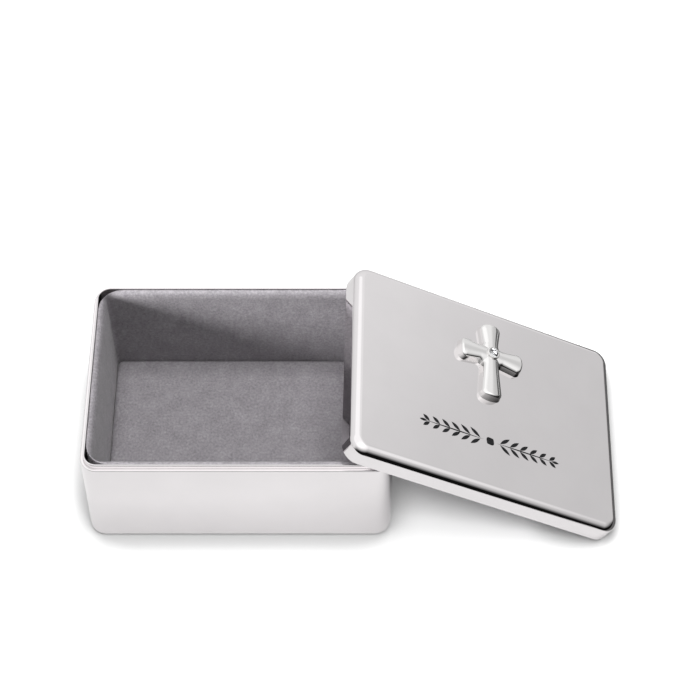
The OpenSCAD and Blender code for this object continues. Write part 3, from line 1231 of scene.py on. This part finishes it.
# The dimmer wall on the right, and the dark low band along it
RIGHT_WALL = [(0.64, 1.0), (0.68, 0.92), (0.72, 0.8), (0.77, 0.75)]
LOW_BAND = [(0.05, 1.0), (0.13, 0.0)]
LOW_BAND_FROM = [(0.6, 0.0), (0.7, 0.85)]


def lamp(name, place, target, size, watts, floor=None, state="INCLUDE"):
    """A square soft lamp that faces a point; it lights only the floor, or all but the floor, if told so."""
    deselect()
    bpy.ops.object.light_add(type="AREA", location=place)
    light = bpy.context.object
    light.name = name
    light.data.shape = "SQUARE"
    light.data.size = size
    light.data.energy = watts
    light.visible_glossy = False
    if floor:
        lit = bpy.data.collections.new(f"{name}_{state.lower()}")
        lit.objects.link(floor)
        lit.collection_objects[0].light_linking.link_state = state
        light.light_linking.receiver_collection = lit
    light.rotation_euler = (Vector(target) - Vector(place)).to_track_quat("-Z", "Y").to_euler()


def floor_finish():
    """Paper white that keeps the object's shadow from the lamps, adds a painted shadow next to it for the
    camera, and ends in the dark room as metal sees it.
    """
    paper = Finish("studio_floor")
    path = paper.node("ShaderNodeLightPath", {})
    to_camera = path.outputs["Is Camera Ray"]
    right, back, _ = paper.axes(paper.place)
    # Painted shadow: the camera sees the floor's colour darken where the object closes it in.
    occlusion = paper.node("ShaderNodeAmbientOcclusion", {"Distance": SHADOW_REACH})
    shaded = paper.grey_ramp(occlusion.outputs["AO"], CONTACT_SHADOW, 0.0, 1.0)
    glow = paper.grey_ramp(back, GLOW, -0.2, 0.2)
    paper.set(
        Base_Color=paper.blend(to_camera, FLOOR_TONE, shaded),
        Roughness=0.9,
        Specular_IOR_Level=0.0,
        Emission_Color=WHITE,
        Emission_Strength=paper.maths("MULTIPLY", to_camera, glow),
    )
    slanted = paper.maths("ADD", back, paper.maths("MULTIPLY", right, FRONT_SLANT))
    past_front = paper.grey_ramp(slanted, FRONT_END, -0.2, 0.0)
    past_right = paper.grey_ramp(right, RIGHT_END, 0.1, 0.2)
    past_right = paper.maths("MULTIPLY", past_right, paper.grey_ramp(back, RIGHT_DEPTH, -0.2, 0.2))
    beyond = paper.maths("MULTIPLY", paper.maths("ADD", past_front, past_right, True), paper.in_metal(path))
    dark = paper.node("ShaderNodeBsdfDiffuse", {"Color": NEARLY_BLACK})
    seen = paper.mix(beyond, paper.shader, dark)
    paper.feed(paper.tree.nodes["Material Output"].inputs["Surface"], seen.outputs[0])
    return paper.material


def studio_world(fill):
    """White to the camera; to metal, a bright room that is dark in front, below eye level."""
    world = bpy.data.worlds.new("studio")
    bpy.context.scene.world = world
    world.use_nodes = True
    world.node_tree.nodes.clear()
    tree = ShaderTree(world.node_tree)
    right, back, up = tree.axes(tree.node("ShaderNodeTexCoord", {}).outputs["Generated"])

    def brightness_at(value, stops):
        return tree.grey_ramp(value, [(place, grey / BRIGHTEST) for place, grey in stops])

    def background(tone, strength):
        return tree.node("ShaderNodeBackground", {"Color": tone, "Strength": strength})

    room = tree.maths("MULTIPLY", brightness_at(up, BEHIND), tree.grey_ramp(right, RIGHT_WALL))
    low = tree.maths("MULTIPLY", tree.grey_ramp(up, LOW_BAND), tree.grey_ramp(right, LOW_BAND_FROM))
    room = tree.maths("MULTIPLY", room, tree.maths("SUBTRACT", 1.0, low))
    rightwards = tree.maths("MULTIPLY", right, AHEAD_RIGHT)
    ahead = tree.maths("SUBTRACT", rightwards, tree.maths("MULTIPLY", back, AHEAD_FRONT))
    in_front = tree.grey_ramp(ahead, AHEAD_FROM)

    path = tree.node("ShaderNodeLightPath", {})
    glossy = background(tree.blend(in_front, room, brightness_at(up, IN_FRONT)), BRIGHTEST)
    lit = tree.mix(tree.in_metal(path), background(WHITE, fill), glossy)
    shown = tree.mix(path.outputs["Is Camera Ray"], lit, background(WHITE, 1.0))
    tree.node("ShaderNodeOutputWorld", {"Surface": shown.outputs[0]})


class KEEPSAKE_OT_studio(bpy.types.Operator):
    """Floor, lamps, background and camera"""

    bl_idname = "keepsake.studio"
    bl_label = "Studio"

    def execute(self, context):
        studio = settings().studio
        deselect()
        bpy.ops.mesh.primitive_plane_add(size=1)
        floor = named("studio_floor")
        floor.scale = (FLOOR_WIDTH, FLOOR_WIDTH, 1)
        place_in_mesh()
        dress(floor, floor_finish())
        lamp("key_lamp", *KEY_LAMP, studio.key, floor, "EXCLUDE")
        lamp("top_lamp", *TOP_LAMP, studio.top)
        lamp("floor_lamp", *FLOOR_LAMP, studio.floor, floor, "INCLUDE")
        studio_world(studio.fill)
        bpy.ops.object.camera_add(location=studio.camera_place, rotation=(studio.camera_tilt, 0, 0))
        camera = bpy.context.object
        camera.data.lens = studio.lens
        camera.data.sensor_width = 36
        camera.data.clip_start = 0.01
        context.scene.camera = camera
        context.scene.view_settings.view_transform = "Standard"
        return {"FINISHED"}


# ---- panel and registration


STEPS = (
    KEEPSAKE_OT_studio,
    KEEPSAKE_OT_finishes,
    KEEPSAKE_OT_hidden_pieces,
    KEEPSAKE_OT_box_shell,
    KEEPSAKE_OT_rim_collar,
    KEEPSAKE_OT_wall_lining,
    KEEPSAKE_OT_floor_lining,
    KEEPSAKE_OT_lid_shell,
    KEEPSAKE_OT_lid_lining,
    KEEPSAKE_OT_cross,
    KEEPSAKE_OT_collet,
    KEEPSAKE_OT_stone,
    KEEPSAKE_OT_engraving,
)


class KEEPSAKE_PT_panel(bpy.types.Panel):
    """Lists the pieces in the sidebar"""

    bl_label = "Keepsake Box"
    bl_space_type = "VIEW_3D"
    bl_region_type = "UI"
    bl_category = "Keepsake Box"

    def draw(self, context):
        for step in STEPS:
            self.layout.operator(step.bl_idname)


GROUPS = (ShellSizes, LidSizes, LiningSizes, CrossSizes, Finishes, StudioSettings, KeepsakeBox)


def register():
    """Registers the settings, the operators and the panel."""
    for group in (*GROUPS, *STEPS, KEEPSAKE_PT_panel):
        bpy.utils.register_class(group)
    bpy.types.Scene.keepsake_box = PointerProperty(type=KeepsakeBox)


def unregister():
    """Removes what register added."""
    del bpy.types.Scene.keepsake_box
    for group in reversed((*GROUPS, *STEPS, KEEPSAKE_PT_panel)):
        bpy.utils.unregister_class(group)


def main():
    """Builds every piece in order."""
    register()
    for step in STEPS:
        group, name = step.bl_idname.split(".")
        getattr(getattr(bpy.ops, group), name)()


if __name__ == "__main__":
    main()
